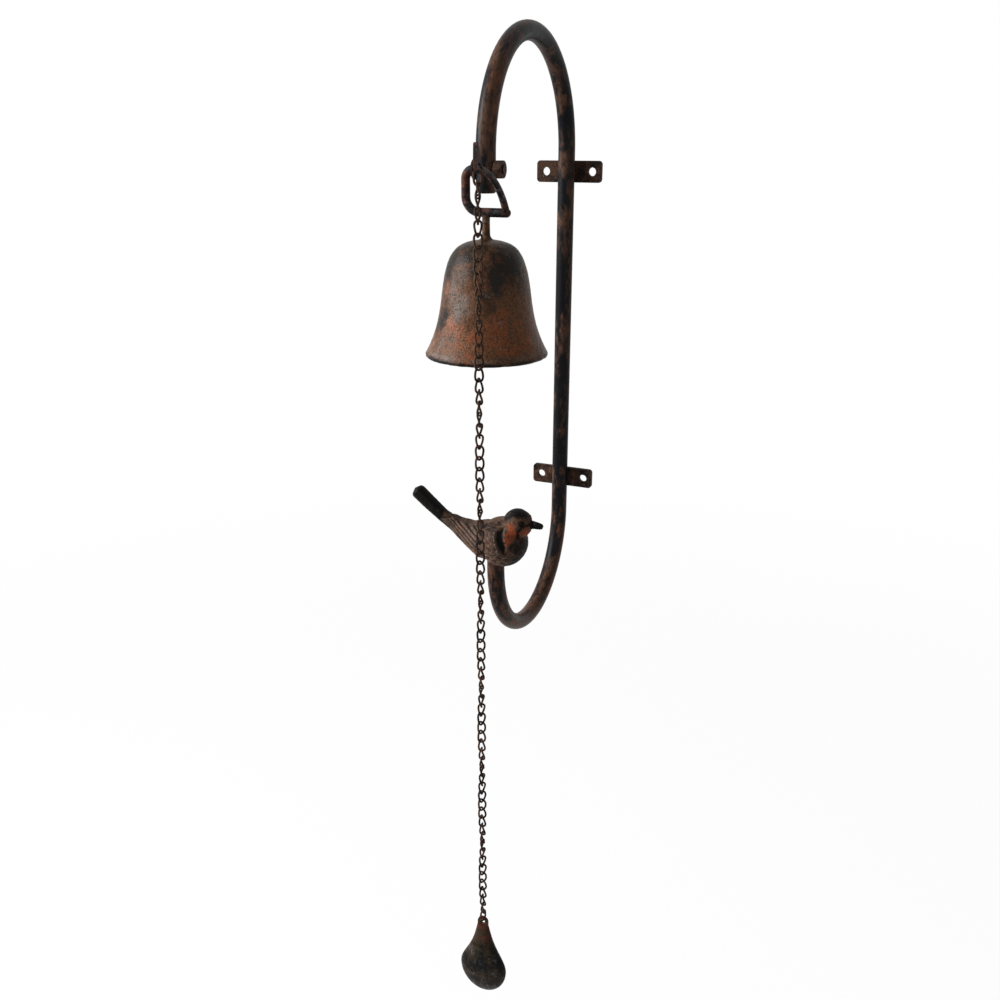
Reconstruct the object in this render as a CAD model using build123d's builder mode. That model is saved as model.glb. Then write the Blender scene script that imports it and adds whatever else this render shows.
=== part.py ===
import os
from math import cos, radians, sin

from build123d import *

os.makedirs("parts", exist_ok=True)

# All sizes are in millimetres and all turns in degrees.
# X runs to the right along the wall, Y into the wall and Z up.
# The origin is the middle of the four screw holes, on the wall.

# Wall straps
strap_length = 49.0
strap_height = 15.0
strap_thick = 3.0
strap_corner_r = 2.5
screw_hole_d = 6.0
screw_gap_x = 35.0
screw_gap_z = 232.0

# Bracket rod
rod_d = 12.0
rod_seat = 0.5
top_bend_r = 72.0
low_bend_r = 65.0
top_bend_z = 130.0
low_bend_z = -141.0
rod_cut_z = 108.0
rod_cut_chamfer = 0.8
perch_end_z = -124.0
limb_y = -(strap_thick + rod_d / 2 - rod_seat)
front_y = limb_y - 2 * top_bend_r
perch_y = limb_y - 2 * low_bend_r

# Yoke, bent from one bar whose far end is the lever
bar_d = 5.4
pivot_z = 121.5
pivot_play = 0.05
pivot_end_x = 12.2
arm_x = 13.2
arm_top_r = 5.6
arm_low_r = 9.0
base_z = 97.0
lever_x = 13.2
lever_root_d = 4.4
lever_tip_d = 3.4
lever_rise = (-13.0, -9.5)
lever_end = (-38.8, 1.5)
lug_at = (-41.5, 2.5)
lug_tip_at = (-43.5, 14.0)
lug_r = 3.9
lug_tip_r = 1.3
lug_thick = 2.2
lug_hole_d = 3.8
hole_chamfer = 0.5

# Washer and nut on the pivot
side_play = 0.3
washer_d = 12.0
washer_thick = 1.2
nut_flats = 10.0
nut_thick = 5.0
nut_chamfer_d = 10.2

# Bell
stem_d = 5.0
stem_foot_r = 3.5
crown_z = 81.0
lip_r = 38.2
lip_z = 13.0
lip_slope = 60.0
lip_thick = 3.2
inside_top_z = 76.0
lip_across = (lip_thick * sin(radians(lip_slope)), lip_thick * cos(radians(lip_slope)))

# Clapper and its staple
staple_d = 2.2
staple_half = 4.0
staple_bend_r = 2.0
staple_bar_z = 70.0
staple_top_z = 79.2
clapper_eye_r = 3.2
clapper_eye_d = 2.2
clapper_eye_drop = 0.85
shank_top_d = 3.0
shank_low_d = 4.2
ball_d = 18.0
ball_z = 21.5

# Chain of twisted links, with a plain link at each end
wire_flats = 1.3
wire_sides = 6
link_pitch = 6.9
link_play = 0.3
link_hang_play = 0.15
link_half_width = 2.4
link_half_bar = 1.2
link_side_half = 2.5
link_side_turn = 21.1
last_link_turn = 70.0
run_count = 9
run_links = 8
half_turns = 8
wire_corners = wire_flats / cos(radians(180 / wire_sides))
link_height = link_pitch + (wire_flats + wire_corners) / 2 + link_play
twisted_links = 1 + run_count * run_links
chain_turn = (90 - last_link_turn + 180 * half_turns) / twisted_links
link_end_turn = (90 - chain_turn) / 2
chain_y = front_y + lug_at[0]
hole_sag = (lug_hole_d - wire_corners) / 2 - link_hang_play
chain_top_z = pivot_z + lug_at[1] - hole_sag

# Drop at the end of the chain
drop_hole_d = 3.2
drop_top_r = 3.9
drop_tab_thick = 1.8
drop_tab_down = 10.0
drop_half_width = 17.9
drop_half_thick = 6.4
drop_wide_down = 46.0
drop_height = 67.5
drop_stations = [
    (7.0, 4.3, 1.6),
    (12.0, 5.4, 2.8),
    (22.0, 8.2, 4.4),
    (33.0, 13.2, 5.9),
    (41.0, 17.0, 6.35),
    (drop_wide_down, drop_half_width, drop_half_thick),
]
end_link_low_z = chain_top_z - link_pitch * (twisted_links + 1) - link_height
drop_hole_z = end_link_low_z - (drop_hole_d - wire_corners) / 2 + link_hang_play

# Bird, facing along +X on the end of the lower hook
breast_r = 17.4
breast_at = (5.5, -120.2)
head_r = 10.4
head_at = (16.2, -105.5)
nape_r = 11.6
nape_at = (10.5, -113.0)
eye_r = 1.7
eye_at = (22.0, -102.6)
eye_y = 7.9
beak_base_r = 3.4
beak_tip_r = 2.0
beak_end_r = 1.6
beak_length = 12.4
beak_at = (22.8, -104.6)
beak_dip = 4.0
back_stations = [
    (7.0, -120.2, 0.0, 15.5, 15.5),
    (-9.0, -120.3, 8.0, 14.4, 13.4),
    (-20.0, -117.4, 20.0, 9.8, 8.3),
    (-30.0, -112.8, 30.0, 6.8, 5.0),
    (-39.0, -108.1, 38.0, 5.5, 4.4),
    (-49.5, -100.0, 40.0, 5.5, 5.0),
    (-61.8, -90.0, 40.0, 5.6, 5.4),
]
tail_end_r = 4.0
wing_lift = 1.1
wing_front_top = (6.5, -107.0)
wing_back = (-16.0, -109.8)
wing_tip = (-39.5, -108.4)
wing_flank = (-18.0, -121.0)
wing_front_low = (5.0, -125.0)
wing_shoulder = (11.8, -116.0)
feather_root_top = (-3.0, -109.0)
feather_root_low = (-5.0, -123.5)
feather_gap = 0.8
feather_count = 5


# Bracket rod, one round bar bent in the plane that stands out from the wall
with BuildPart() as bracket_rod:
    with BuildLine(Plane.YZ) as rod_line:
        Line((front_y, rod_cut_z), (front_y, top_bend_z))
        ThreePointArc(
            (front_y, top_bend_z),
            (front_y + top_bend_r, top_bend_z + top_bend_r),
            (limb_y, top_bend_z),
        )
        Line((limb_y, top_bend_z), (limb_y, low_bend_z))
        ThreePointArc(
            (limb_y, low_bend_z),
            (limb_y - low_bend_r, low_bend_z - low_bend_r),
            (perch_y, low_bend_z),
        )
        Line((perch_y, low_bend_z), (perch_y, perch_end_z))
    with BuildSketch(Plane((0, front_y, rod_cut_z))):
        Circle(rod_d / 2)
    sweep(path=rod_line.wire())
    chamfer(bracket_rod.edges().group_by(Axis.Y)[0].filter_by(GeomType.CIRCLE), rod_cut_chamfer)
    with BuildSketch(Plane.YZ):
        with Locations((front_y, pivot_z)):
            Circle(bar_d / 2 + pivot_play)
    extrude(amount=rod_d, both=True, mode=Mode.SUBTRACT)
bracket_rod.part.label = "bracket_rod"
export_step(bracket_rod.part, "parts/bracket_rod.step")

# Wall straps, each with a shallow seat for the rod that is welded to it
for strap_name, strap_z in (("upper_strap", screw_gap_z / 2), ("lower_strap", -screw_gap_z / 2)):
    with BuildPart() as strap:
        with BuildSketch(Plane.XZ):
            with Locations((0, strap_z)):
                RectangleRounded(strap_length, strap_height, strap_corner_r)
            with Locations((-screw_gap_x / 2, strap_z), (screw_gap_x / 2, strap_z)):
                Circle(screw_hole_d / 2, mode=Mode.SUBTRACT)
        extrude(amount=strap_thick)
        with BuildSketch(Plane((0, limb_y, strap_z))):
            Circle(rod_d / 2)
        extrude(amount=strap_height, both=True, mode=Mode.SUBTRACT)
    strap.part.label = strap_name
    export_step(strap.part, "parts/" + strap_name + ".step")

# Yoke: pivot, round arm, base, lever and the pointed lug that takes the chain
with BuildPart() as yoke:
    with BuildLine(Plane.XZ.offset(-front_y)) as yoke_line:
        pivot_run = Line((pivot_end_x, pivot_z), (arm_top_r - arm_x, pivot_z))
        top_bend = JernArc(pivot_run @ 1, pivot_run % 1, arm_top_r, 90)
        arm_run = Line(top_bend @ 1, (-arm_x, base_z + arm_low_r))
        low_bend = JernArc(arm_run @ 1, arm_run % 1, arm_low_r, 90)
        Line(low_bend @ 1, (lever_x, base_z))
    with BuildSketch(Plane((pivot_end_x, front_y, pivot_z), z_dir=(-1, 0, 0))):
        Circle(bar_d / 2)
    sweep(path=yoke_line.wire())
    with Locations((lever_x, front_y, base_z)):
        Sphere(bar_d / 2)
    with BuildLine(Plane.YZ.offset(lever_x)) as lever_line:
        ThreePointArc(
            (front_y, base_z),
            (front_y + lever_rise[0], pivot_z + lever_rise[1]),
            (front_y + lever_end[0], pivot_z + lever_end[1]),
        )
    with BuildSketch(Plane(lever_line.line @ 0, z_dir=lever_line.line % 0)):
        Circle(lever_root_d / 2)
    with BuildSketch(Plane(lever_line.line @ 1, z_dir=lever_line.line % 1)):
        Circle(lever_tip_d / 2)
    sweep(path=lever_line.wire(), multisection=True)
    with BuildSketch(Plane.YZ.offset(lever_x)):
        with Locations((front_y + lug_at[0], pivot_z + lug_at[1])):
            Circle(lug_r)
        with Locations((front_y + lug_tip_at[0], pivot_z + lug_tip_at[1])):
            Circle(lug_tip_r)
        make_hull()
    extrude(amount=lug_thick / 2, both=True)
    with BuildSketch(Plane.YZ.offset(lever_x)):
        with Locations((front_y + lug_at[0], pivot_z + lug_at[1])):
            Circle(lug_hole_d / 2)
    extrude(amount=bar_d, both=True, mode=Mode.SUBTRACT)
    lug_hole_rims = yoke.edges().filter_by(GeomType.CIRCLE).sort_by(Axis.Y)
    chamfer(lug_hole_rims.filter_by(lambda rim: rim.radius == lug_hole_d / 2), hole_chamfer)
yoke.part.label = "yoke"
export_step(yoke.part, "parts/yoke.step")

# Washer on the left of the rod
with BuildPart() as pivot_washer:
    with BuildSketch(Plane.YZ.offset(-rod_d / 2 - side_play)):
        with Locations((front_y, pivot_z)):
            Circle(washer_d / 2)
            Circle(bar_d / 2, mode=Mode.SUBTRACT)
    extrude(amount=-washer_thick)
pivot_washer.part.label = "pivot_washer"
export_step(pivot_washer.part, "parts/pivot_washer.step")

# Nut on the right of the rod, its outer corners turned off
with BuildPart() as pivot_nut:
    with BuildSketch(Plane.YZ.offset(rod_d / 2 + side_play)):
        with Locations((front_y, pivot_z)):
            RegularPolygon(nut_flats / 2, 6, major_radius=False)
    extrude(amount=nut_thick)
    with BuildSketch(Plane.YZ.offset(rod_d / 2 + side_play + nut_thick)):
        with Locations((front_y, pivot_z)):
            Circle(nut_chamfer_d / 2)
    extrude(amount=-nut_thick, taper=-30, mode=Mode.INTERSECT)
    with BuildSketch(Plane.YZ.offset(rod_d / 2 + side_play)):
        with Locations((front_y, pivot_z)):
            Circle(bar_d / 2)
    extrude(amount=nut_thick, mode=Mode.SUBTRACT)
pivot_nut.part.label = "pivot_nut"
export_step(pivot_nut.part, "parts/pivot_nut.step")

# Bell, cast with its stem, the top of the stem saddled to the bar of the yoke
with BuildPart() as bell:
    with BuildSketch(Plane.XZ.offset(-front_y)):
        with BuildLine():
            stem_side = Line((stem_d / 2, base_z), (stem_d / 2, crown_z + stem_foot_r))
            stem_foot = JernArc(stem_side @ 1, (0, -1), stem_foot_r, 84)
            outside = Spline(
                stem_foot @ 1,
                (17.6, 76.8),
                (25.2, 62.5),
                (28.1, 45.0),
                (31.2, 29.5),
                (lip_r, lip_z),
                tangents=[(1, -0.1), (cos(radians(lip_slope)), -sin(radians(lip_slope)))],
            )
            rim = ThreePointArc(
                outside @ 1,
                (lip_r - lip_across[0] / 2 + lip_across[1] / 2, lip_z - lip_across[1] / 2 - lip_across[0] / 2),
                (lip_r - lip_across[0], lip_z - lip_across[1]),
            )
            inside = Spline(
                rim @ 1,
                (26.9, 29.0),
                (23.6, 44.5),
                (20.4, 61.5),
                (13.6, 72.5),
                (0, inside_top_z),
                tangents=[(-cos(radians(lip_slope)), sin(radians(lip_slope))), (-1, 0)],
            )
            Line(inside @ 1, (0, base_z))
            Line((0, base_z), (stem_d / 2, base_z))
        make_face()
    revolve(axis=Axis((0, front_y, 0), (0, 0, 1)))
    with BuildSketch(Plane((0, front_y, base_z), x_dir=(0, 1, 0), z_dir=(1, 0, 0))):
        Circle(bar_d / 2)
    extrude(amount=bar_d, both=True, mode=Mode.SUBTRACT)
    with BuildSketch(Plane((0, front_y, staple_bar_z))):
        with Locations((-staple_half, 0), (staple_half, 0)):
            Circle(staple_d / 2)
    extrude(amount=staple_top_z - staple_bar_z, mode=Mode.SUBTRACT)
bell.part.label = "bell"
export_step(bell.part, "parts/bell.step")

# Staple set in the crown, its straight bar along X
with BuildPart() as clapper_staple:
    with BuildLine(Plane.XZ.offset(-front_y)) as staple_line:
        FilletPolyline(
            (-staple_half, staple_top_z),
            (-staple_half, staple_bar_z),
            (staple_half, staple_bar_z),
            (staple_half, staple_top_z),
            radius=staple_bend_r,
        )
    with BuildSketch(Plane((-staple_half, front_y, staple_top_z), z_dir=(0, 0, -1))):
        Circle(staple_d / 2)
    sweep(path=staple_line.wire())
clapper_staple.part.label = "clapper_staple"
export_step(clapper_staple.part, "parts/clapper_staple.step")

# Clapper: an eye round the bar of the staple, a shank and a ball
eye_z = staple_bar_z - clapper_eye_drop
with BuildPart() as clapper:
    with BuildSketch(Plane.XZ.offset(-front_y)):
        with BuildLine():
            Polyline(
                (0, eye_z - clapper_eye_r),
                (shank_top_d / 2, eye_z - clapper_eye_r),
                (shank_low_d / 2, ball_z),
                (0, ball_z),
                close=True,
            )
        make_face()
    revolve(axis=Axis((0, front_y, 0), (0, 0, 1)))
    with Locations((0, front_y, ball_z)):
        Sphere(ball_d / 2)
    with BuildSketch(Plane((0, front_y, eye_z - clapper_eye_r), z_dir=(0, 1, 0))):
        Circle(clapper_eye_d / 2)
    revolve(axis=Axis((0, front_y, eye_z), (1, 0, 0)))
clapper.part.label = "clapper"
export_step(clapper.part, "parts/clapper.step")


# A corner of a link, at a distance from its middle line and turned about it
def corner(out, turn, z):
    return (out * cos(radians(turn)), out * sin(radians(turn)), z)


# A closed link that hangs from the origin, half of it swept and the other half turned round
def make_link(end_turn, side_turn):
    top_z = 0
    low_z = -link_height
    mid_z = -link_height / 2
    with BuildPart() as link:
        with BuildLine() as link_line:
            Polyline(
                corner(0, end_turn, low_z),
                corner(link_half_bar, end_turn, low_z),
                corner(link_half_width, side_turn, mid_z - link_side_half),
                corner(link_half_width, -side_turn, mid_z + link_side_half),
                corner(link_half_bar, -end_turn, top_z),
                corner(0, -end_turn, top_z),
            )
        with BuildSketch(Plane(link_line.line @ 0, x_dir=(0, 0, 1), z_dir=link_line.line % 0)):
            RegularPolygon(wire_flats / 2, wire_sides, major_radius=False)
        sweep(path=link_line.wire(), transition=Transition.RIGHT)
        add(link.part.rotate(Axis.Z, 180))
    return link.part


plain_link = make_link(0, 0)
twisted_link = make_link(link_end_turn, link_side_turn)


# Where a link of the chain hangs, the links counted from the lug
def link_place(number, turn):
    return Location((lever_x, chain_y, chain_top_z - link_pitch * number), (0, 0, turn))


# Plain end links, the first one in the lug and the last one in the drop
for link_name, link_number, link_turn in (
    ("chain_first_link", 0, 0),
    ("chain_last_link", twisted_links + 1, last_link_turn),
):
    with BuildPart() as end_link:
        with Locations(link_place(link_number, link_turn)):
            add(plain_link)
    end_link.part.label = link_name
    export_step(end_link.part, "parts/" + link_name + ".step")

# Twisted links: a single one under the first link, then runs of equal length
run_starts = [1] + [2 + run_links * run for run in range(run_count)]
for run, first in enumerate(run_starts):
    with BuildPart() as chain_run:
        for number in range(first, first + (run_links if run else 1)):
            turn = 90 + link_end_turn - chain_turn * (number - 1)
            with Locations(link_place(number, turn)):
                add(twisted_link)
    run_name = "chain_run_" + str(run) if run else "chain_second_link"
    chain_run.part.label = run_name
    export_step(chain_run.part, "parts/" + run_name + ".step")

# Round foot of the drop, half of a flattened ball
with BuildPart() as drop_foot:
    Sphere(1, arc_size1=-90, arc_size2=0, align=(Align.CENTER, Align.CENTER, Align.MAX))
    scale(by=(drop_half_width, drop_half_thick, drop_height - drop_wide_down))

# Drop, a flattened pear with a hole across its top for the last link
drop_top_z = drop_hole_z + drop_top_r
with BuildPart() as drop:
    for down, half_width, half_thick in drop_stations:
        with BuildSketch(Plane((lever_x, chain_y, drop_top_z - down))):
            Ellipse(half_width, half_thick)
    loft()
    with Locations((lever_x, chain_y, drop_top_z - drop_wide_down)):
        add(drop_foot.part)
    with BuildSketch(Plane.XZ.offset(-chain_y)):
        with Locations((lever_x, drop_hole_z)):
            Circle(drop_top_r)
            Rectangle(2 * drop_top_r, drop_tab_down - drop_top_r, align=(Align.CENTER, Align.MAX))
    extrude(amount=drop_tab_thick / 2, both=True)
    with BuildSketch(Plane.XZ.offset(-chain_y)):
        with Locations((lever_x, drop_hole_z)):
            Circle(drop_hole_d / 2)
    extrude(amount=drop_half_width, both=True, mode=Mode.SUBTRACT)
    drop_hole_rims = drop.edges().filter_by(GeomType.CIRCLE)
    chamfer(drop_hole_rims.filter_by(lambda rim: rim.radius == drop_hole_d / 2), hole_chamfer)
drop.part.label = "drop"
export_step(drop.part, "parts/drop.step")

# Wings of the bird, a layer over its sides parted into long feathers
with BuildPart() as wings:
    for x, z, rise, half_y, half_z in back_stations[:5]:
        away = (-cos(radians(rise)), 0, sin(radians(rise)))
        with BuildSketch(Plane((x, perch_y, z), x_dir=(0, 1, 0), z_dir=away)):
            Ellipse(half_y + wing_lift, half_z + wing_lift)
    loft()
    with Locations((breast_at[0], perch_y, breast_at[1])):
        Sphere(breast_r + wing_lift)
    with Locations((nape_at[0], perch_y, nape_at[1])):
        Sphere(nape_r + wing_lift)
    with BuildSketch(Plane.XZ.offset(-perch_y)):
        with BuildLine():
            Spline(wing_front_top, wing_back, wing_tip)
            Spline(wing_tip, wing_flank, wing_front_low)
            ThreePointArc(wing_front_low, wing_shoulder, wing_front_top)
        make_face()
    extrude(amount=2 * breast_r, both=True, mode=Mode.INTERSECT)
    with BuildSketch(Plane.XZ.offset(-perch_y)):
        for feather in range(feather_count):
            with BuildLine():
                feather_roots = Line(feather_root_top, feather_root_low, mode=Mode.PRIVATE)
                Line(feather_roots @ ((feather + 1) / (feather_count + 1)), wing_tip)
            trace(line_width=feather_gap)
    extrude(amount=2 * breast_r, both=True, mode=Mode.SUBTRACT)

# Bird, one casting with a socket for the end of the rod
with BuildPart() as bird:
    for x, z, rise, half_y, half_z in back_stations:
        away = (-cos(radians(rise)), 0, sin(radians(rise)))
        with BuildSketch(Plane((x, perch_y, z), x_dir=(0, 1, 0), z_dir=away)):
            Ellipse(half_y, half_z)
    loft()
    fillet(bird.edges().sort_by(Axis.X)[0], tail_end_r)
    with Locations((breast_at[0], perch_y, breast_at[1])):
        Sphere(breast_r)
    with Locations((nape_at[0], perch_y, nape_at[1])):
        Sphere(nape_r)
    with Locations((head_at[0], perch_y, head_at[1])):
        Sphere(head_r)
    with Locations(Location((beak_at[0], perch_y, beak_at[1]), (0, 90 + beak_dip, 0))):
        Cone(beak_base_r, beak_tip_r, beak_length, align=(Align.CENTER, Align.CENTER, Align.MIN))
    fillet(bird.edges().sort_by(Axis.X)[-1], beak_end_r)
    with Locations((eye_at[0], perch_y - eye_y, eye_at[1]), (eye_at[0], perch_y + eye_y, eye_at[1])):
        Sphere(eye_r, rotation=(0, 90, 0))
    add(wings.part)
    with BuildSketch(Plane((0, perch_y, perch_end_z))):
        Circle(rod_d / 2)
    extrude(amount=-2 * breast_r, mode=Mode.SUBTRACT)
bird.part.label = "bird"
export_step(bird.part, "parts/bird.step")
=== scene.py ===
import math

import bpy
import numpy as np
from mathutils import Matrix, Vector, noise


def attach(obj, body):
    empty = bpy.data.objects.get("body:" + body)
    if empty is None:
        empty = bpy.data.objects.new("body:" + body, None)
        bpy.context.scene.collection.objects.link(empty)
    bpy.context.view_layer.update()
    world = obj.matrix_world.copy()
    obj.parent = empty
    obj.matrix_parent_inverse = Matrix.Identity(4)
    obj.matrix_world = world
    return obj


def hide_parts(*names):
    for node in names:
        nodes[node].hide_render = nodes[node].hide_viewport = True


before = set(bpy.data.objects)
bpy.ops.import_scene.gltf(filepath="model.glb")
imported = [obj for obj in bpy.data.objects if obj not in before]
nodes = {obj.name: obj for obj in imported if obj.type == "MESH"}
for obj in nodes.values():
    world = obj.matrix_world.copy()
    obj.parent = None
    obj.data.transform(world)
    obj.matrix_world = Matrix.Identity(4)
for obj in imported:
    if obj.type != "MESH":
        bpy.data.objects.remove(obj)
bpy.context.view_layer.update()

MM = 0.001

# Sizes shared with the part's source, in millimetres and degrees
limb_y = -8.5
top_bend_r, top_bend_z = 72.0, 130.0
low_bend_r, low_bend_z = 65.0, -141.0
front_y = limb_y - 2 * top_bend_r
perch_y = limb_y - 2 * low_bend_r
pivot_z = 121.5
lever_x = 13.2
lug_at = (-41.5, 2.5)
lug_hole_d = 3.8
wire_flats = 1.3
wire_corners = wire_flats / math.cos(math.radians(30))
link_pitch = 6.9
link_play = 0.3
link_hang_play = 0.15
link_half_width = 2.4
link_height = link_pitch + (wire_flats + wire_corners) / 2 + link_play
run_count, run_links = 9, 8
twisted_links = 1 + run_count * run_links
half_turns = 8
last_link_turn = 70.0
chain_turn = (90 - last_link_turn + 180 * half_turns) / twisted_links
link_end_turn = (90 - chain_turn) / 2
chain_y = front_y + lug_at[0]
chain_top_z = pivot_z + lug_at[1] - ((lug_hole_d - wire_corners) / 2 - link_hang_play)


# Materials

# Shader nodes of one material or of the world
class Graph:
    def __init__(self, owner):
        owner.use_nodes = True
        self.nodes, self.links = owner.node_tree.nodes, owner.node_tree.links
        self.nodes.clear()

    def new(self, kind):
        return self.nodes.new("ShaderNode" + kind)

    # Link an output to a socket, or set a constant on it
    def put(self, socket, value):
        if isinstance(value, bpy.types.NodeSocket):
            self.links.new(value, socket)
        else:
            socket.default_value = value

    def math(self, operation, *values):
        node = self.new("Math")
        node.operation = operation
        for socket, value in zip(node.inputs, values):
            self.put(socket, value)
        return node.outputs["Value"]

    def weigh(self, a, share_a, b, share_b):
        return self.math("ADD", self.math("MULTIPLY", a, share_a), self.math("MULTIPLY", b, share_b))

    def split(self, vector):
        node = self.new("SeparateXYZ")
        self.put(node.inputs["Vector"], vector)
        return list(node.outputs)

    def noise(self, at, scale, detail, rough, distortion=0.0):
        node = self.new("TexNoise")
        for name, value in (("Vector", at), ("Scale", scale), ("Detail", detail), ("Roughness", rough),
                            ("Distortion", distortion)):
            self.put(node.inputs[name], value)
        return node.outputs["Fac"]

    def ramp(self, value, low, high):
        node = self.new("MapRange")
        node.interpolation_type = "SMOOTHSTEP"
        for name, given in (("Value", value), ("From Min", low), ("From Max", high)):
            self.put(node.inputs[name], given)
        return node.outputs["Result"]

    def attribute(self, name):
        node = self.new("Attribute")
        node.attribute_name = name
        return node.outputs["Fac"]

    def mix_colour(self, share, a, b):
        node = self.new("Mix")
        node.data_type = "RGBA"
        for place, value in ((0, share), (6, a), (7, b)):
            self.put(node.inputs[place], value)
        return node.outputs[2]

    # 1 where the camera, a reflection or glass sees the surface, 0 where it only lights the object
    def seen(self):
        rays = self.new("LightPath").outputs
        seen = self.math("MAXIMUM", rays["Is Camera Ray"], rays["Is Glossy Ray"])
        return self.math("MAXIMUM", seen, rays["Is Transmission Ray"])

    def mix_shader(self, share, a, b):
        node = self.new("MixShader")
        for place, value in ((0, share), (1, a), (2, b)):
            self.put(node.inputs[place], value)
        return node.outputs["Shader"]

    def finish(self, kind, shader):
        self.put(self.new(kind).inputs["Surface"], shader)


def srgb(*levels):
    shares = [level / 255.0 for level in levels]
    return (*(c / 12.92 if c <= 0.04045 else ((c + 0.055) / 1.055) ** 2.4 for c in shares), 1.0)


def deeper(colour, share):
    return (*(c * share for c in colour[:3]), 1.0)


# Place on the bent rod: across it, out from the bend, and along its length
def along_rod(g, place):
    stretch = 0.4
    x, y, z = g.split(place)
    halves = []
    for bend_r, bend_z, way in ((top_bend_r, top_bend_z, 1.0), (low_bend_r, low_bend_z, -1.0)):
        dy = g.math("SUBTRACT", y, limb_y - bend_r)
        rise = g.math("MULTIPLY", g.math("SUBTRACT", z, bend_z), way)
        dz = g.math("MAXIMUM", rise, 0.0)
        square = g.math("ADD", g.math("MULTIPLY", dy, dy), g.math("MULTIPLY", dz, dz))
        out_by = g.math("SUBTRACT", g.math("SQRT", square), bend_r)
        leg = g.math("MULTIPLY", g.math("MINIMUM", rise, 0.0), g.math("SIGN", dy))
        bend = g.math("MULTIPLY", g.math("ARCTAN2", dz, dy), bend_r)
        run = g.math("MULTIPLY", g.math("ADD", bend, leg), way)
        halves.append((out_by, g.math("ADD", run, bend_z)))
    upper = g.math("GREATER_THAN", z, 0.0)
    lower = g.math("SUBTRACT", 1.0, upper)
    out_by, run = [g.weigh(a, upper, b, lower) for a, b in zip(*halves)]
    join = g.new("CombineXYZ")
    for socket, value in zip(join.inputs, (x, out_by, g.math("MULTIPLY", run, stretch))):
        g.put(socket, value)
    return join.outputs["Vector"]


# Cast or painted iron: dark, brown and rust tones in soft patches, speckled and worn to grey.
# browned, rusted and worn are the noise levels between which each tone comes in, and patch, mottle
# and pits are noise scales per millimetre. The bias rows and the grey rows after them, each (axis, from, to,
# amount) in millimetres, move those levels along the object. toned reads the mesh's own tone, its pale edge values
# (rubbed bare, and on the bell partly a painted highlight) and its painted shade in grooves, pits and hollows.
def iron(name, dark, brown, rust, grey, browned=(0.38, 0.58), rusted=(0.54, 0.70), rust_share=0.8,
         worn=(0.56, 0.68), speckle=0.5, patch=0.05, mottle=0.3, pits=1.0, bump=0.35, rough=0.5, shine=0.2,
         follow=None, bias=(), grey_shift=(), toned=False):
    bump_depth = 0.6 * MM
    smoother, rougher = 0.12, 0.2
    mat = bpy.data.materials.new(name)
    g = Graph(mat)
    place = g.new("TexCoord").outputs["Object"]
    in_mm = g.new("Mapping")
    g.put(in_mm.inputs["Vector"], place)
    g.put(in_mm.inputs["Scale"], (1 / MM, 1 / MM, 1 / MM))
    at = in_mm.outputs["Vector"]
    if follow:
        at = follow(g, at)
    big = g.noise(at, patch, 3.0, 0.5, 0.3)
    other = g.noise(at, patch * 2.3, 4.0, 0.6, 0.6)
    mid = g.noise(at, mottle, 5.0, 0.65, 0.3)
    fine = g.noise(at, pits, 3.0, 0.6)
    axes = g.split(place)

    def shift_along(axis, low, high, amount):
        return g.math("MULTIPLY", g.ramp(axes[axis], low * MM, high * MM), amount)

    shifts = [shift_along(*row) for row in bias]
    if toned:
        shifts.append(g.math("SUBTRACT", g.attribute("tone"), 0.5))
    brown_at = g.weigh(big, 0.55, mid, 0.45)
    rust_at = g.weigh(other, 0.6, mid, 0.4)
    for shift in shifts:
        brown_at = g.math("ADD", brown_at, shift)
        rust_at = g.math("ADD", rust_at, shift)
    colour = g.mix_colour(g.ramp(brown_at, *browned), dark, brown)
    colour = g.mix_colour(g.math("MULTIPLY", g.ramp(rust_at, *rusted), rust_share), colour, rust)

    # Grey level, moved along the object by the listed grey rows
    bared = other
    for row in grey_shift:
        bared = g.math("ADD", bared, shift_along(*row))
    rubbed = g.math("MULTIPLY", g.ramp(bared, *worn), g.ramp(fine, 0.35, 0.6))
    # Pale grey where paint is rubbed off; on the bell the mesh's edge values are partly a painted highlight
    if toned:
        rubbed = g.math("MAXIMUM", g.math("MULTIPLY", rubbed, 0.4), g.attribute("edge"))
    colour = g.mix_colour(rubbed, colour, grey)
    pitted = g.math("SUBTRACT", 1.0, g.ramp(fine, 0.30, 0.56))
    colour = g.mix_colour(g.math("MULTIPLY", pitted, speckle), colour, deeper(dark, 0.3))
    # Painted shade: darker in the grooves, pits and hollows that the mesh marks
    if toned:
        colour = g.mix_colour(g.ramp(g.attribute("painted_shade"), 0.1, 0.9), colour, deeper(dark, 0.25))

    grain = g.new("Bump")
    g.put(grain.inputs["Strength"], bump)
    g.put(grain.inputs["Distance"], bump_depth)
    g.put(grain.inputs["Height"], g.weigh(fine, 0.6, mid, 0.8))
    spread = g.new("MapRange")
    g.put(spread.inputs["Value"], mid)
    g.put(spread.inputs["To Min"], rough - smoother)
    g.put(spread.inputs["To Max"], rough + rougher)
    shader = g.new("BsdfPrincipled")
    g.put(shader.inputs["Base Color"], colour)
    g.put(shader.inputs["Specular IOR Level"], shine)
    g.put(shader.inputs["Roughness"], spread.outputs["Result"])
    g.put(shader.inputs["Normal"], grain.outputs["Normal"])
    g.finish("OutputMaterial", shader.outputs["BSDF"])
    return mat


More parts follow.
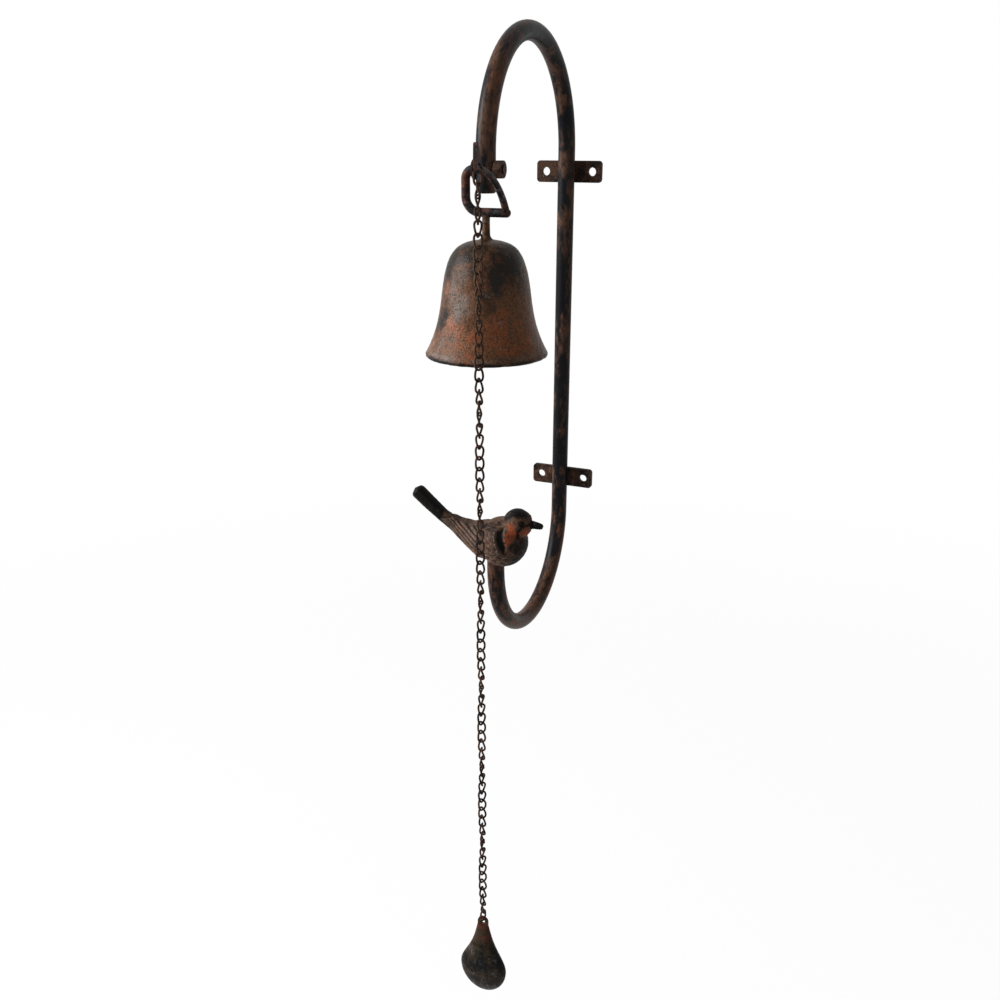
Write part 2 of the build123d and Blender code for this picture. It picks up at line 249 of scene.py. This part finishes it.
bell_mat = iron("bell_iron", srgb(30, 24, 19), srgb(98, 66, 45), srgb(136, 74, 40), srgb(116, 113, 110),
                browned=(0.37, 0.58), rusted=(0.52, 0.69), rust_share=0.7, worn=(0.56, 0.68), speckle=0.75,
                patch=0.035, mottle=0.22, pits=0.9, bump=0.9, rough=0.34, shine=0.075, toned=True)
rod_mat = iron("rod_paint", srgb(13, 13, 16), srgb(76, 54, 42), srgb(126, 73, 43), srgb(74, 66, 62),
               browned=(0.46, 0.60), rusted=(0.56, 0.74), rust_share=0.6, worn=(0.62, 0.80), speckle=0.6,
               patch=0.07, mottle=0.28, pits=0.8, rough=0.38, shine=0.07, follow=along_rod,
               bias=[(0, -6, 6, 0.04), (1, -60, -30, -0.035), (2, 165, 200, -0.04), (2, -90, -140, 0.035)])
strap_mat = iron("strap_paint", srgb(18, 15, 14), srgb(66, 47, 37), srgb(116, 66, 40), srgb(84, 78, 72),
                 patch=0.10, mottle=0.5, shine=0.05)
yoke_mat = iron("yoke_paint", srgb(18, 17, 20), srgb(78, 47, 36), srgb(134, 70, 42), srgb(92, 92, 98),
                browned=(0.44, 0.60), rusted=(0.54, 0.70), patch=0.09, mottle=0.35, speckle=0.6, shine=0.08)
bird_mat = iron("bird_iron", srgb(18, 15, 14), srgb(86, 65, 53), srgb(142, 66, 36), srgb(138, 124, 114),
                browned=(0.34, 0.58), rusted=(0.56, 0.80), rust_share=0.85, worn=(0.64, 0.78), speckle=0.6,
                patch=0.10, mottle=0.4, pits=0.8, shine=0.05, toned=True)
chain_mat = iron("chain_wire", srgb(22, 18, 17), srgb(70, 50, 39), srgb(116, 70, 44), srgb(88, 80, 76),
                 patch=0.10, mottle=0.6, pits=2.0, shine=0.05)
drop_mat = iron("drop_iron", srgb(10, 9, 10), srgb(48, 39, 28), srgb(82, 35, 30), srgb(92, 88, 88),
                browned=(0.42, 0.60), rusted=(0.56, 0.74), worn=(0.52, 0.74), patch=0.08, mottle=0.3, pits=0.8,
                rough=0.40, shine=0.06, bias=[(2, -424, -398, 0.16)],
                # Grey rows: the drop turns greyer towards its bottom and less grey over its upper part
                grey_shift=[(2, -426, -406, -0.3), (2, -444, -458, 0.18)])
inner_mat = iron("inner_iron", srgb(18, 15, 14), srgb(44, 34, 28), srgb(84, 50, 32), srgb(60, 56, 52),
                 shine=0.05)


def paint(obj, mat):
    obj.data.materials.clear()
    obj.data.materials.append(mat)


# Meshes made here, from points in millimetres in the shared frame

def add_object(name, data):
    obj = bpy.data.objects.new(name, data)
    bpy.context.scene.collection.objects.link(obj)
    return obj


def make_mesh(name, verts, faces):
    mesh = bpy.data.meshes.new(name)
    mesh.from_pydata([tuple(v) for v in np.asarray(verts) * MM], [], faces)
    mesh.update()
    mesh.shade_smooth()
    return add_object(name, mesh)


def set_value(mesh, name, values):
    attribute = mesh.attributes.new(name, "FLOAT", "POINT")
    attribute.data.foreach_set("value", np.clip(values, 0, 1).astype(np.float32))


# Four-sided faces between rings of points that follow each other
def ring_faces(rings, sides, closed=False, flipped=False):
    faces = []
    for i in range(rings if closed else rings - 1):
        here, there = i * sides, (i + 1) % rings * sides
        for k in range(sides):
            a, b = k, (k + 1) % sides
            if flipped:
                a, b = b, a
            faces.append((here + a, here + b, there + b, there + a))
    return faces


def turbulence(points, scale, depth):
    return np.array([noise.fractal(Vector(p) * scale, 1.0, 2.0, depth) for p in points])


# Smooth bump of height 1 where a value is near 0, and smooth step from 0 to 1
def hump(v, width):
    return np.exp(-(v / width) ** 2)


def step(v, low, high):
    t = np.clip((v - low) / (high - low), 0, 1)
    return t * t * (3 - 2 * t)


def positive(v):
    return np.clip(v, 0, 1)


# Chain

wire_r, wire_around, wire_along = 0.69, 8, 36
link_roundness = 2 / 2.8


# One link that hangs from the origin, turned between its ends
def link_line(end_turn):
    points = []
    for i in range(wire_along):
        a = 2 * math.pi * i / wire_along
        c, s = math.cos(a), math.sin(a)
        out = link_half_width * math.copysign(abs(c) ** link_roundness, c)
        up = link_height / 2 * math.copysign(abs(s) ** link_roundness, s)
        turn = math.radians(-end_turn * up / (link_height / 2))
        points.append((out * math.cos(turn), out * math.sin(turn), up - link_height / 2))
    return np.array(points)


# Points of a round wire along a closed line, with its twist spread evenly so that the ends meet
def closed_wire(line):
    n = len(line)
    tangent = np.roll(line, -1, 0) - np.roll(line, 1, 0)
    tangent /= np.linalg.norm(tangent, axis=1)[:, None]
    any_side = (0.3, 0.5, 0.8)
    normals = [np.cross(tangent[0], any_side)]
    normals[0] /= np.linalg.norm(normals[0])
    for i in range(1, n + 1):
        t = tangent[i % n]
        v = normals[-1] - t * (normals[-1] @ t)
        normals.append(v / np.linalg.norm(v))
    first, last = normals[0], normals[-1]
    slip = math.atan2(np.cross(first, last) @ tangent[0], first @ last)
    verts = []
    for i in range(n):
        side = np.cross(tangent[i], normals[i])
        for k in range(wire_around):
            a = -slip * i / n + 2 * math.pi * k / wire_around
            verts.append(line[i] + wire_r * (math.cos(a) * normals[i] + math.sin(a) * side))
    return np.array(verts)


plain_link = closed_wire(link_line(0.0))
twisted_link = closed_wire(link_line(link_end_turn))
link_faces = ring_faces(wire_along, wire_around, closed=True)


def hang(link, number, turn):
    c, s = math.cos(math.radians(turn)), math.sin(math.radians(turn))
    spin = np.array([[c, -s, 0], [s, c, 0], [0, 0, 1]])
    return link @ spin.T + np.array([lever_x, chain_y, chain_top_z - link_pitch * number])


def turn_of(number):
    return 90 + link_end_turn - chain_turn * (number - 1)


def chain_piece(name, body, links):
    verts = np.concatenate([hang(*link) for link in links])
    faces = [tuple(i + n * len(plain_link) for i in f) for n in range(len(links)) for f in link_faces]
    obj = make_mesh(name + "_wire", verts, faces)
    paint(obj, chain_mat)
    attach(obj, body)
    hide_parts(name)


chain_piece("chain_first_link", "first_link", [(plain_link, 0, 0.0)])
chain_piece("chain_second_link", "second_link", [(twisted_link, 1, turn_of(1))])
for run in range(run_count):
    numbers = range(2 + run * run_links, 2 + (run + 1) * run_links)
    chain_piece("chain_run_%d" % (run + 1), "run_%d" % (run + 1),
                [(twisted_link, number, turn_of(number)) for number in numbers])
chain_piece("chain_last_link", "run_9", [(plain_link, twisted_links + 1, last_link_turn)])


# Bell: the cast skin, turned from the part's outline and then roughened

stem_r, stem_top_z, stem_low_z = 2.5, 96.0, 85.0
stem_foot_r, crown_z = 3.5, 81.0
lip_r, lip_z, lip_slope, lip_thick = 38.2, 13.0, 60.0, 3.2
outside_points = [(17.6, 76.8), (25.2, 62.5), (28.1, 45.0), (31.2, 29.5)]
inside_points = [(26.9, 29.0), (23.6, 44.5), (20.4, 61.5), (13.6, 72.5)]
inside_top = (0.01, 76.0)
bell_around = 144
rim_rings_outside = 3

# Stains on the bell: turn about its axis in degrees, height, half width, half height and strength
tone_stains = [(-52, 54, 9, 14, -0.12), (-20, 66, 10, 10, -0.08), (-34, 40, 10, 8, 0.16), (-96, 24, 14, 8, 0.10),
               (-56, 24, 12, 9, 0.12), (40, 34, 14, 12, 0.10), (120, 40, 16, 12, 0.10), (170, 30, 16, 10, -0.10),
               (-22, 26, 10, 8, 0.08)]
# Patches rubbed bare to grey; those at -98 and -104 degrees, facing between the key lamp and the view, are also a
# painted highlight
bare_and_highlight_stains = [(-98, 38, 7, 8, 0.60), (-104, 52, 6, 8, 0.45), (80, 50, 9, 8, 0.25), (-120, 20, 6, 5, 0.3)]


# Smooth line through points, with the direction given at each end
def spline(points, first, last, count):
    p = np.asarray(points, float)
    steps = np.linalg.norm(np.diff(p, axis=0), axis=1)
    t = np.concatenate([[0], np.cumsum(steps)])
    n = len(p)
    a = np.zeros((n, n))
    b = np.zeros((n, 2))
    a[0, 0] = a[-1, -1] = 1
    b[0] = np.asarray(first, float) / np.linalg.norm(first)
    b[-1] = np.asarray(last, float) / np.linalg.norm(last)
    for i in range(1, n - 1):
        h0, h1 = steps[i - 1], steps[i]
        a[i, i - 1], a[i, i], a[i, i + 1] = 1 / h0, 2 * (1 / h0 + 1 / h1), 1 / h1
        b[i] = 3 * ((p[i] - p[i - 1]) / h0 ** 2 + (p[i + 1] - p[i]) / h1 ** 2)
    m = np.linalg.solve(a, b)
    out = []
    for u in np.linspace(0, t[-1], count):
        i = min(int(np.searchsorted(t, u, side="right")) - 1, n - 2)
        h = steps[i]
        x = (u - t[i]) / h
        out.append((2 * x ** 3 - 3 * x ** 2 + 1) * p[i] + (x ** 3 - 2 * x ** 2 + x) * h * m[i]
                   + (3 * x ** 2 - 2 * x ** 3) * p[i + 1] + (x ** 3 - x ** 2) * h * m[i + 1])
    return [tuple(point) for point in out]


def arc(centre, radius, start, end, count):
    return [(centre[0] + radius * math.cos(a), centre[1] + radius * math.sin(a))
            for a in np.radians(np.linspace(start, end, count))]


# Radius and height from the stem down the outside and up the inside, and how many points lie outside
def bell_profile():
    slope = (math.cos(math.radians(lip_slope)), -math.sin(math.radians(lip_slope)))
    lip_low = (lip_r + lip_thick * slope[1], lip_z - lip_thick * slope[0])
    lip_mid = ((lip_r + lip_low[0]) / 2, (lip_z + lip_low[1]) / 2)
    stem = [(stem_r, z) for z in np.linspace(stem_top_z, stem_low_z, 8)]
    foot = arc((stem_r + stem_foot_r, crown_z + stem_foot_r), stem_foot_r, 180, 264, 9)
    outside = spline([foot[-1], *outside_points, (lip_r, lip_z)], (1, -0.1), slope, 90)
    rim = arc(lip_mid, lip_thick / 2, 90 - lip_slope, -90 - lip_slope, 13)
    inside = spline([lip_low, *inside_points, inside_top], (-slope[0], -slope[1]), (-1, 0), 50)
    outer = stem + foot[:-1] + outside
    return np.array(outer + rim[1:-1] + inside), len(outer) + rim_rings_outside


def make_bell():
    profile, outer_count = bell_profile()
    turn = np.tile(2 * math.pi * np.arange(bell_around) / bell_around, len(profile))
    r, z = np.repeat(profile, bell_around, axis=0).T
    verts = np.stack([r * np.cos(turn), front_y + r * np.sin(turn), z], 1)
    steps = np.gradient(profile, axis=0)
    steps /= np.linalg.norm(steps, axis=1)[:, None]
    along_r, along_z = np.repeat(steps, bell_around, axis=0).T
    normals = np.stack([-along_z * np.cos(turn), -along_z * np.sin(turn), along_r], 1)

    # Relief, only ever into the casting
    coarse = turbulence(verts, 0.09, 3)
    pocks = turbulence(verts + 40.0, 0.33, 4)
    height = 0.10 * coarse + 0.10 * pocks - 0.10
    height -= 0.35 * hump(z - lip_z + 1.0, 2.2) * positive(turbulence(verts + 90.0, 0.21, 3))
    height = np.minimum(height, 0.0)
    faces = ring_faces(len(profile), bell_around, flipped=True)
    skin = make_mesh("bell_skin", verts + normals * height[:, None], faces)

    # Painted shade in the pits, over the inside and under the lip; stains with a ragged border; places rubbed bare,
    # partly a painted highlight
    under = np.repeat(np.arange(len(profile)) >= outer_count, bell_around)
    # Painted shade: the inside of the bell, a band under the lip and the pits are darkened
    under_lip_shade = hump(z - lip_z + 0.8, 1.5) * (0.9 + 0.7 * coarse)
    set_value(skin.data, "painted_shade", 0.45 * positive(-pocks) + 0.7 * under + 0.8 * positive(under_lip_shade))
    sway = 14.0 * turbulence(verts + 17.0, 0.05, 3)
    lift = 10.0 * turbulence(verts + 61.0, 0.05, 3)

    def stains(rows):
        total = 0.0
        for at_turn, at_z, wide, tall, strength in rows:
            off = (np.degrees(turn) - at_turn + 180.0) % 360.0 - 180.0
            total = total + strength * hump(off * 0.5 + sway, wide) * hump(z + lift - at_z, tall)
        return total

    crown = 1.0 / (1.0 + np.exp(-(z + 0.5 * lift - 66.0) / 4.0))
    set_value(skin.data, "tone", 0.5 - 0.10 * crown + stains(tone_stains))
    lip_worn = hump(z - lip_z - 1.6, 1.3) * positive(0.45 + 1.2 * coarse + pocks) * ~under
    # Grey rubbed patches, two of them partly a painted highlight, and wear along the lip
    set_value(skin.data, "edge", stains(bare_and_highlight_stains) + 0.5 * lip_worn)
    return skin


bell_skin = make_bell()
paint(bell_skin, bell_mat)
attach(bell_skin, "bell")
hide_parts("bell")


# Bird: rounded forms joined into one skin, then feathered. Places are (x, z).

breast_at, breast_r = (5.5, -120.2), 17.4
nape_at, nape_r = (10.5, -113.0), 11.6
head_at, head_r = (16.2, -105.5), 10.4
beak_at, beak_length, beak_base_r, beak_tip_r, beak_dip = (22.8, -104.6), 12.4, 3.4, 2.0, 4.0
beak_flat = 0.9
beak_round = 0.15

# Back and tail: x, z, rise in degrees, half width and half height
back_stations = [(7.0, -120.2, 0.0, 15.5, 15.5), (-9.0, -120.3, 8.0, 14.4, 13.4), (-20.0, -117.4, 20.0, 9.8, 8.3),
                 (-30.0, -112.8, 30.0, 6.8, 5.0), (-39.0, -108.1, 38.0, 5.5, 4.4), (-49.5, -100.0, 40.0, 5.5, 5.0),
                 (-61.8, -90.0, 40.0, 5.6, 5.4)]
tail_inset = 0.6
tail_round = 4.0
tail_rise = 40.0
voxel = 0.55 * MM
smooth_share, smooth_rounds = 0.5, 14

wing_outline = [(-40, -108.3), (-30, -107.0), (-18, -107.8), (-9.4, -107.8), (-4.4, -109.4), (4.6, -108.2),
                (6.0, -110.0), (6.4, -113.2), (9.0, -119.6), (10.4, -123.2), (2, -124.4), (-5, -123.6),
                (-14, -122.0), (-22, -119.3), (-32, -113.6)]
hollow_outline = [(6.2, -108.0), (10.2, -106.0), (11.6, -112.5), (14.0, -118.5), (12.4, -123.0), (9.6, -120.0),
                  (6.6, -113.2)]
brow_line = [(29, -100.6), (24.0, -98.8), (19.4, -97.0), (14.5, -97.4), (10.0, -100.2)]
stripe_line = [(27, -103.4), (22.5, -104.6), (20.0, -108.0), (19.4, -113.0)]
eye_at, eye_r = (22.0, -102.2), 1.2

# Relief on the bird's skin, in millimetres
skin_inset = 0.1
wing_lift, wing_edge_depth = 0.85, 0.35
hollow_depth = 1.5
quill_depth, covert_depth, frill_depth, plume_depth = 0.7, 0.6, 0.8, 0.25
tail_line_depth, back_line_depth = 0.28, 0.22
brow_depth, stripe_depth = 0.5, 0.35
eye_lift, eye_ring_depth = 0.8, 0.4
mouth_depth, beak_root_depth = 0.4, 0.25
grain_depth = 0.10


def ball(centre, radius, count=40):
    verts = []
    for i in range(count + 1):
        e = math.pi * i / count - math.pi / 2
        for k in range(2 * count):
            a = math.pi * k / count
            verts.append((centre[0] + radius * math.cos(e) * math.cos(a),
                          perch_y + radius * math.cos(e) * math.sin(a), centre[1] + radius * math.sin(e)))
    return verts, ring_faces(count + 1, 2 * count)


# Closed tube through rings, each with its place, lean in radians, half width and half height
def tube(rings, sides=48):
    verts = []
    for (x, z), lean, half_wide, half_high in rings:
        for k in range(sides):
            a = 2 * math.pi * k / sides
            up = half_high * math.sin(a)
            verts.append((x + up * math.sin(lean), perch_y + half_wide * math.cos(a), z + up * math.cos(lean)))
    ends = [tuple(range(sides))[::-1], tuple((len(rings) - 1) * sides + k for k in range(sides))]
    return verts, ring_faces(len(rings), sides) + ends


# Quarter-round end: 1 away from the end and 0 on it
def ease_off(share_left):
    return math.sqrt(max(0.0, 1 - (1 - share_left) ** 2)) if share_left < 1 else 1.0


def back_and_tail():
    stations = np.array(back_stations)
    along = np.concatenate([[0], np.cumsum(np.linalg.norm(np.diff(stations[:, :2], axis=0), axis=1))])
    length = along[-1] - tail_inset
    rings = []
    for u in np.linspace(0, length, 40):
        x, z, rise, half_wide, half_high = [np.interp(u, along, column) for column in stations.T]
        ease = ease_off((length - u) / tail_round)
        rings.append(((x, z), math.radians(rise), max(half_wide * ease, 0.3), max(half_high * ease, 0.3)))
    return tube(rings)


def beak():
    dip = math.radians(beak_dip)
    rings = []
    for u in np.linspace(-0.3, 1.0, 14):
        r = beak_base_r + (beak_tip_r - beak_base_r) * max(u, 0) ** 1.2
        r *= ease_off((1 - u) / beak_round)
        at = (beak_at[0] + beak_length * u * math.cos(dip), beak_at[1] - beak_length * u * math.sin(dip))
        rings.append((at, dip, max(r * beak_flat, 0.15), max(r, 0.15)))
    return tube(rings)


def join_bird():
    verts, faces = [], []
    for v, f in (ball(breast_at, breast_r), ball(nape_at, nape_r), ball(head_at, head_r), back_and_tail(), beak()):
        faces += [tuple(i + len(verts) for i in q) for q in f]
        verts += v
    rough_bird = make_mesh("bird_rough", verts, faces)
    remesh = rough_bird.modifiers.new("join", "REMESH")
    remesh.mode = "VOXEL"
    remesh.voxel_size = voxel
    even = rough_bird.modifiers.new("even", "SMOOTH")
    even.factor = smooth_share
    even.iterations = smooth_rounds
    depsgraph = bpy.context.evaluated_depsgraph_get()
    joined = bpy.data.meshes.new_from_object(rough_bird.evaluated_get(depsgraph))
    bpy.data.objects.remove(rough_bird)
    return joined


def read_points(mesh, name):
    values = np.empty(len(mesh.vertices) * 3)
    mesh.vertices.foreach_get(name, values)
    return values.reshape(-1, 3)


# Distance on the side view from each point to a line
def line_distance(x, z, line):
    best = np.full(len(x), 1e9)
    for (ax, az), (bx, bz) in zip(line[:-1], line[1:]):
        dx, dz = bx - ax, bz - az
        t = np.clip(((x - ax) * dx + (z - az) * dz) / (dx * dx + dz * dz), 0, 1)
        best = np.minimum(best, np.hypot(x - ax - t * dx, z - az - t * dz))
    return best


# Distance inside an outline drawn on the side of the bird, negative outside it
def inside_of(x, z, outline):
    closed = outline + outline[:1]
    within = np.zeros(len(x), bool)
    for (ax, az), (bx, bz) in zip(closed[:-1], closed[1:]):
        within ^= ((az > z) != (bz > z)) & (x < (bx - ax) * (z - az) / (bz - az + 1e-12) + ax)
    distance = line_distance(x, z, closed)
    return np.where(within, distance, -distance)


# Rows of rounded feathers that overlap like tiles: 0 at the root of each and 1 at its tip
def scales(u, v, row, wide):
    across = (v / wide + 0.5 * np.mod(np.floor(u / row), 2)) % 1.0 - 0.5
    return np.mod(u / row + 1.6 * across ** 2, 1.0)


# Narrow grooves, one for each turn of the angle
def grooves(angle):
    return (0.5 + 0.5 * np.cos(angle)) ** 3


def feather(mesh):
    co = read_points(mesh, "co") / MM
    no = read_points(mesh, "normal")
    x, y, z = co[:, 0], co[:, 1] - perch_y, co[:, 2]
    side = step(np.abs(no[:, 1]), 0.15, 0.45)

    # Wing, with the hollow in front of it
    wing = inside_of(x, z, wing_outline)
    lifted = step(wing, -0.1, 0.9) * side
    hollow = step(inside_of(x, z, hollow_outline), -0.8, 1.4) * side
    wing_edge = hump(wing + 0.5, 0.5) * side * (1 - step(x, 2.0, 6.0) * side)
    wing_rim = hump(wing - 0.7, 0.5) * lifted
    height = wing_lift * lifted - skin_inset - hollow_depth * hollow - wing_edge_depth * wing_edge

    # Long feathers fan out from the tail end of the wing, short ones lie before them
    fan = np.degrees(np.arctan2(z + 100.5, x + 45.0))
    quills = lifted * step(-x, 3.0, 8.0) * step(x, -42.0, -37.0)
    quill_lines = grooves(2 * math.pi * fan / 4.2)
    coverts = lifted * step(x, -9.0, -5.0)
    tile = scales(9.0 - x - 0.35 * (z + 112), z + 0.2 * x, 4.6, 4.2)
    flank = side * step(-wing, 0.3, 1.4) * step(x, -20.0, -10.0) * step(-z, 120.0, 123.5) * step(-x, -17.0, -10.0)
    frill = scales(-z - 118 - 0.35 * x, x - 0.3 * z, 4.6, 5.2)
    breast = step(x, 8.0, 14.0) * step(-z, 106.0, 110.0)
    plume = scales(-z - 100, np.degrees(np.arctan2(y, x - 5)), 3.8, 17.0)
    height -= quill_depth * quill_lines * quills
    height += covert_depth * (tile - 0.75) * coverts
    height += frill_depth * (frill - 0.7) * flank
    height += plume_depth * (plume - 0.6) * breast

    # Lines along the tail and the back
    tail = step(-x, 36.0, 42.0)
    lean = math.radians(tail_rise)
    tail_turn = np.arctan2(y, (x + 50) * math.sin(lean) + (z + 99.6) * math.cos(lean))
    tail_lines = grooves(9 * tail_turn) * tail
    back = step(no[:, 2], 0.1, 0.6) * (1 - lifted) * step(x, -40.0, -30.0) * step(-x, -10.0, -4.0)
    back_lines = grooves(2 * math.pi * y / 2.6) * back
    height -= tail_line_depth * tail_lines + back_line_depth * back_lines

    # Head: brow, stripe under the eye, eye and beak
    brow = hump(line_distance(x, z, brow_line), 0.8) * step(np.abs(y), 2.5, 4.5)
    stripe = hump(line_distance(x, z, stripe_line), 1.3) * side
    eye = np.hypot(x - eye_at[0], z - eye_at[1])
    eye_ring = side * hump(eye - 1.5, 0.4)
    eye_dark = side * step(-eye, -1.4, -1.0)
    bill = step(x, 26.0, 26.8)
    mouth = hump(z + 105.3 + 0.07 * (x - 26), 0.35) * bill
    beak_root = hump(x - 26.2, 0.6) * step(-z, 100.5, 102.0)
    height -= brow_depth * brow + stripe_depth * stripe + mouth_depth * mouth + beak_root_depth * beak_root
    height += eye_lift * side * np.sqrt(positive(1 - (eye / eye_r) ** 2)) - eye_ring_depth * eye_ring
    height += grain_depth * turbulence(co, 0.45, 3) * (1 - bill)
    mesh.vertices.foreach_set("co", ((co + no * height[:, None]) * MM).ravel())
    mesh.update()

    # Painted shade in the hollow before the wing, the grooves and the gaps between feathers, and over the brow,
    # stripe, mouth, eye ring and eye
    dark = hollow + 0.9 * quill_lines * quills + 0.5 * wing_edge
    dark += 2.0 * positive(0.4 - tile) * coverts + 2.4 * positive(0.42 - frill) * flank
    dark += 0.8 * positive(0.35 - plume) * breast + 0.5 * tail_lines + 0.5 * back_lines
    dark += 0.75 * brow + 0.8 * stripe + 0.9 * mouth + 0.7 * eye_ring + 0.8 * eye_dark
    set_value(mesh, "painted_shade", dark)

    # Rusty cheek, throat and flank, and dark head, shoulder and tail
    cheek = hump(np.hypot(x - 15.5, (z + 109.0) * 0.6), 4.6) * side
    streak = hump(np.hypot(x - 14.5, (z + 117.0) * 0.5), 2.6) * side
    throat = hump(np.hypot(x - 24.0, (z + 109.0) * 0.6), 3.6)
    belly = step(-z, 112.0, 120.0) * step(x, 9.0, 14.0)
    cap = step(z, -100.0, -97.0) * step(x, 8.0, 12.0)
    mantle = side * step(z, -109.5, -107.5) * step(x, -12.0, -4.0) * step(-x, -9.0, -5.0)
    face = step(x, 8.0, 11.0) * (1 - bill)
    tone = 0.49 + 0.40 * cheek + 0.30 * throat + 0.14 * streak + 0.10 * flank + 0.03 * lifted
    tone -= 0.08 * face + 0.06 * belly + 0.42 * tail + 0.4 * bill + 0.10 * cap + 0.10 * mantle
    set_value(mesh, "tone", tone)

    # Pale tips and rims, where paint has rubbed off
    rubbed = 0.45 * wing_rim * step(x, 0.0, 6.0) + 0.16 * (1 - quill_lines) * quills
    rubbed += 1.3 * positive(frill - 0.6) * flank + 0.8 * positive(tile - 0.65) * coverts
    set_value(mesh, "edge", rubbed)
    mesh.shade_smooth()


bird_mesh = join_bird()
feather(bird_mesh)
bird_skin = add_object("bird_skin", bird_mesh)
paint(bird_skin, bird_mat)
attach(bird_skin, "bracket")
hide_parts("bird")


# CAD pieces that keep their solids, shaded smooth except at edges sharper than this
sharp_angle = math.radians(35.0)
for node, mat, slot in (
    ("bracket_rod", rod_mat, "bracket_paint"),
    ("upper_strap", strap_mat, "bracket_paint"),
    ("lower_strap", strap_mat, "bracket_paint"),
    ("yoke", yoke_mat, "yoke_paint"),
    ("pivot_washer", inner_mat, "fastener_steel"),
    ("pivot_nut", strap_mat, "fastener_steel"),
    ("clapper_staple", inner_mat, "inner_iron"),
    ("clapper", inner_mat, "inner_iron"),
    ("drop", drop_mat, "drop_iron"),
):
    paint(nodes[node], mat)
    nodes[node].data.shade_smooth()
    split = nodes[node].modifiers.new("smooth_by_angle", "EDGE_SPLIT")
    split.split_angle = sharp_angle


# Stage, light and camera: in metres, but camera_at, lens and sensor in millimetres

floor_half, floor_z = 8.0, -0.9
floor_grey = 0.9
shade_share, shade_near, shade_far = 0.05, 1.2, 2.6
room_strength = 0.12
camera_at = (246.8, -716.4, 139.1)
azimuth, pitch = math.radians(22.86), math.radians(20.11)
lens, sensor = 35.64, 36.0

# White floor that keeps a little of the object's shadow near it
floor_mesh = bpy.data.meshes.new("floor")
floor_mesh.from_pydata([(x * floor_half, y * floor_half, floor_z) for x, y in ((-1, -1), (1, -1), (1, 1), (-1, 1))],
                       [], [(0, 1, 2, 3)])
floor = add_object("floor", floor_mesh)
floor_mat = bpy.data.materials.new("floor_white")
g = Graph(floor_mat)
plain = g.new("BsdfDiffuse")
g.put(plain.inputs["Color"], (floor_grey, floor_grey, floor_grey, 1))
white = g.new("Emission")
g.put(white.inputs["Strength"], 1.0)
reach = g.new("VectorMath")
reach.operation = "LENGTH"
g.put(reach.inputs[0], g.new("TexCoord").outputs["Object"])
far = g.ramp(reach.outputs["Value"], shade_near, shade_far)
clear = g.math("ADD", g.math("MULTIPLY", far, shade_share), 1 - shade_share)
g.finish("OutputMaterial", g.mix_shader(g.math("MULTIPLY", g.seen(), clear), plain.outputs[0], white.outputs[0]))
floor_mesh.materials.append(floor_mat)

# White room that gives only a little light
world = bpy.data.worlds.new("studio")
bpy.context.scene.world = world
g = Graph(world)
rooms = []
for strength in (room_strength, 1.0):
    room = g.new("Background")
    g.put(room.inputs["Color"], (1, 1, 1, 1))
    g.put(room.inputs["Strength"], strength)
    rooms.append(room.outputs[0])
g.finish("OutputWorld", g.mix_shader(g.seen(), *rooms))


def area_light(name, at, target, size, power):
    data = bpy.data.lights.new(name, "AREA")
    data.shape = "RECTANGLE"
    data.size, data.size_y = size
    data.energy = power
    obj = add_object(name, data)
    obj.location = at
    obj.rotation_mode = "QUATERNION"
    obj.rotation_quaternion = (Vector(target) - Vector(at)).to_track_quat("-Z", "Y")


area_light("key", (-1.5, -0.85, 0.75), (0, -0.1, 0), (0.45, 1.1), 74.0)
area_light("fill", (1.2, -1.2, 0.5), (0, -0.1, 0), (0.9, 1.2), 5.0)

# Camera fitted to the photo
right = Vector((math.cos(azimuth), math.sin(azimuth), 0))
ahead = Vector((-math.sin(azimuth) * math.cos(pitch), math.cos(azimuth) * math.cos(pitch), -math.sin(pitch)))
camera_data = bpy.data.cameras.new("camera")
camera_data.sensor_width = sensor
camera_data.lens = lens
camera_data.clip_start, camera_data.clip_end = 0.05, 50
camera = add_object("camera", camera_data)
turn = Matrix((right, right.cross(ahead), -ahead)).transposed()
camera.matrix_world = Matrix.Translation(Vector(camera_at) * MM) @ turn.to_4x4()
bpy.context.scene.camera = camera
bpy.context.scene.view_settings.view_transform = "Standard"
